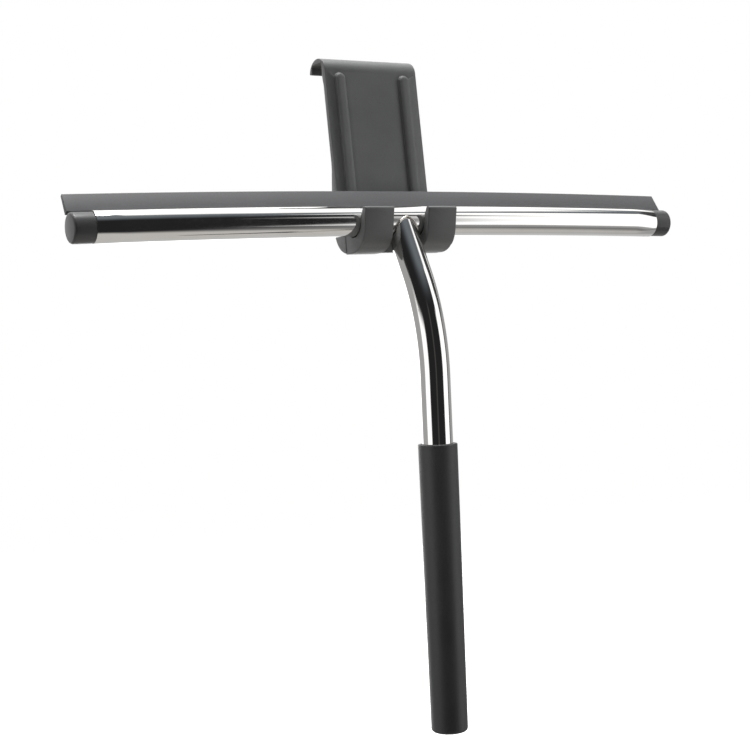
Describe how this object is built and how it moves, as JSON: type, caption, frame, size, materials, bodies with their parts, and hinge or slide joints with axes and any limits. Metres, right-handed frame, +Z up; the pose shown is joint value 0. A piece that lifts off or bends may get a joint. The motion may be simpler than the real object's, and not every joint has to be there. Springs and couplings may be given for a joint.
{
  "type": "shower squeegee with hook holder",
  "caption": "T-shaped squeegee for wiping glass: slotted steel bar with a silicone blade, bent steel handle with a soft grip, hanging in a hook holder for a shower screen.",
  "frame": {"origin": "middle of the hook's flat seat, which rests on the top edge of the glass", "axes": "+X along the bar, to the right when facing the front; +Y towards the glass screen; +Z up"},
  "size_m": [0.2868, 0.0535, 0.2841],
  "materials": {
    "polished_steel": "mirror polished stainless tube",
    "weld_steel": "polished weld bead",
    "grey_silicone": "satin grey silicone",
    "cap_plastic": "satin dark grey moulding",
    "grip_rubber": "matte charcoal soft touch",
    "holder_plastic": "fine matte dark grey moulding",
    "pad_silicone": "matte silicone pad",
    "inner_plastic": "matte"
  },
  "bodies": {
    "holder": {"holder_body": "holder_plastic", "back_pad": "pad_silicone"},
    "squeegee": {"crossbar_tube": "polished_steel", "blade": "grey_silicone", "blade_core": "inner_plastic", "end_cap_left": "cap_plastic", "end_cap_right": "cap_plastic", "handle_tube": "polished_steel", "weld_bead": "weld_steel", "grip_sleeve": "grip_rubber", "handle_end_plug": "inner_plastic"}
  },
  "joints": [
    {"name": "lift_off", "type": "slide", "parent": "holder", "child": "squeegee", "axis": [0, 0, 1], "range_m": [0, 0.04]}
  ]
}
